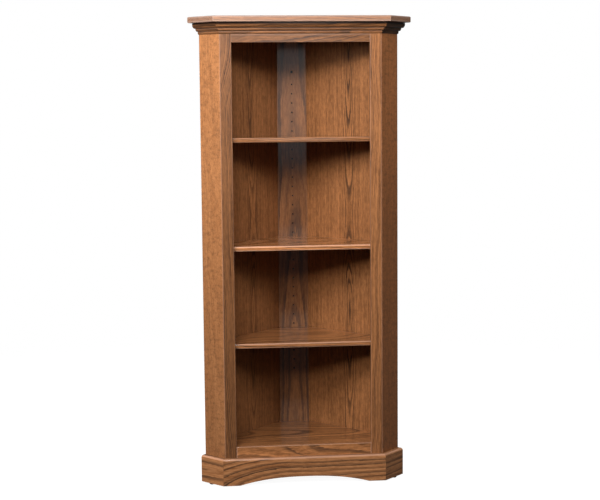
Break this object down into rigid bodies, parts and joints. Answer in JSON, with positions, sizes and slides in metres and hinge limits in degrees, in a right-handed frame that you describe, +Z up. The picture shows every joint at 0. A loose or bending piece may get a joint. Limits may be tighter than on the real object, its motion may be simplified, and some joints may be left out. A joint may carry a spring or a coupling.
{
  "type": "corner bookcase",
  "caption": "Tall oak bookcase for an inside corner, with angled returns, a face frame, adjustable shelves on pins, crown moulding and an arched base.",
  "frame": {"origin": "on the floor, under the middle of the box round the unit", "axes": "+X to the right of someone facing the shelves, +Y from the front towards the corner of the room, +Z up; the two walls run at 45 degrees to X and Y"},
  "size_m": [0.8652, 0.4744, 1.8288],
  "materials": {
    "stained_oak": "semi-gloss brown stain on solid oak, open grain",
    "oak_plywood": "semi-gloss brown stain on oak plywood",
    "dark_oak": "semi-gloss dark stain on solid oak, with a cool reflection",
    "raw_wood": "bare sanded wood",
    "screw_steel": "yellow zinc plate",
    "pin_steel": "nickel plate",
    "glide_plastic": "black moulded plastic"
  },
  "bodies": {
    "case": {"left_stile": "stained_oak", "right_stile": "stained_oak", "top_rail": "stained_oak", "bottom_rail": "stained_oak", "left_return": "stained_oak", "right_return": "stained_oak", "left_back_panel": "oak_plywood", "right_back_panel": "oak_plywood", "corner_post": "dark_oak", "bottom_board": "oak_plywood", "sub_top": "oak_plywood", "top_board": "stained_oak", "crown_left": "stained_oak", "crown_front": "stained_oak", "crown_right": "stained_oak", "base_left": "stained_oak", "base_front": "stained_oak", "base_right": "stained_oak", "bottom_cleat_left": "raw_wood", "bottom_cleat_right": "raw_wood", "bottom_cleat_back": "raw_wood", "bottom_cleat_front": "raw_wood", "top_cleat_left": "raw_wood", "top_cleat_right": "raw_wood", "top_cleat_back": "raw_wood", "top_rail_left_dowel_1": "raw_wood", "top_rail_left_dowel_2": "raw_wood", "top_rail_right_dowel_1": "raw_wood", "top_rail_right_dowel_2": "raw_wood", "bottom_rail_left_dowel_1": "raw_wood", "bottom_rail_left_dowel_2": "raw_wood", "bottom_rail_right_dowel_1": "raw_wood", "bottom_rail_right_dowel_2": "raw_wood", "top_screw_front_left": "screw_steel", "top_screw_front_right": "screw_steel", "top_screw_rear_left": "screw_steel", "top_screw_rear_right": "screw_steel", "glide_front_left": "glide_plastic", "glide_front_right": "glide_plastic", "glide_rear_left": "glide_plastic", "glide_rear_right": "glide_plastic"},
    "upper_shelf": {"shelf_upper": "stained_oak"},
    "middle_shelf": {"shelf_middle": "stained_oak"},
    "lower_shelf": {"shelf_lower": "stained_oak"},
    "upper_back_pin": {"pin_upper_back": "pin_steel"},
    "upper_left_pin": {"pin_upper_left": "pin_steel"},
    "upper_right_pin": {"pin_upper_right": "pin_steel"},
    "middle_back_pin": {"pin_middle_back": "pin_steel"},
    "middle_left_pin": {"pin_middle_left": "pin_steel"},
    "middle_right_pin": {"pin_middle_right": "pin_steel"},
    "lower_back_pin": {"pin_lower_back": "pin_steel"},
    "lower_left_pin": {"pin_lower_left": "pin_steel"},
    "lower_right_pin": {"pin_lower_right": "pin_steel"}
  },
  "joints": [
    {"name": "upper_shelf_lift", "type": "slide", "parent": "case", "child": "upper_shelf", "axis": [0, 0, 1], "range_m": [0, 0.384]},
    {"name": "middle_shelf_lift", "type": "slide", "parent": "case", "child": "middle_shelf", "axis": [0, 0, 1], "range_m": [0, 0.384]},
    {"name": "lower_shelf_lift", "type": "slide", "parent": "case", "child": "lower_shelf", "axis": [0, 0, 1], "range_m": [0, 0.3456]},
    {"name": "upper_back_pin_pull", "type": "slide", "parent": "case", "child": "upper_back_pin", "axis": [0, -1, 0], "range_m": [0, 0.008]},
    {"name": "upper_left_pin_pull", "type": "slide", "parent": "case", "child": "upper_left_pin", "axis": [0.7071, 0.7071, 0], "range_m": [0, 0.008]},
    {"name": "upper_right_pin_pull", "type": "slide", "parent": "case", "child": "upper_right_pin", "axis": [-0.7071, 0.7071, 0], "range_m": [0, 0.008]},
    {"name": "middle_back_pin_pull", "type": "slide", "parent": "case", "child": "middle_back_pin", "axis": [0, -1, 0], "range_m": [0, 0.008]},
    {"name": "middle_left_pin_pull", "type": "slide", "parent": "case", "child": "middle_left_pin", "axis": [0.7071, 0.7071, 0], "range_m": [0, 0.008]},
    {"name": "middle_right_pin_pull", "type": "slide", "parent": "case", "child": "middle_right_pin", "axis": [-0.7071, 0.7071, 0], "range_m": [0, 0.008]},
    {"name": "lower_back_pin_pull", "type": "slide", "parent": "case", "child": "lower_back_pin", "axis": [0, -1, 0], "range_m": [0, 0.008]},
    {"name": "lower_left_pin_pull", "type": "slide", "parent": "case", "child": "lower_left_pin", "axis": [0.7071, 0.7071, 0], "range_m": [0, 0.008]},
    {"name": "lower_right_pin_pull", "type": "slide", "parent": "case", "child": "lower_right_pin", "axis": [-0.7071, 0.7071, 0], "range_m": [0, 0.008]}
  ]
}
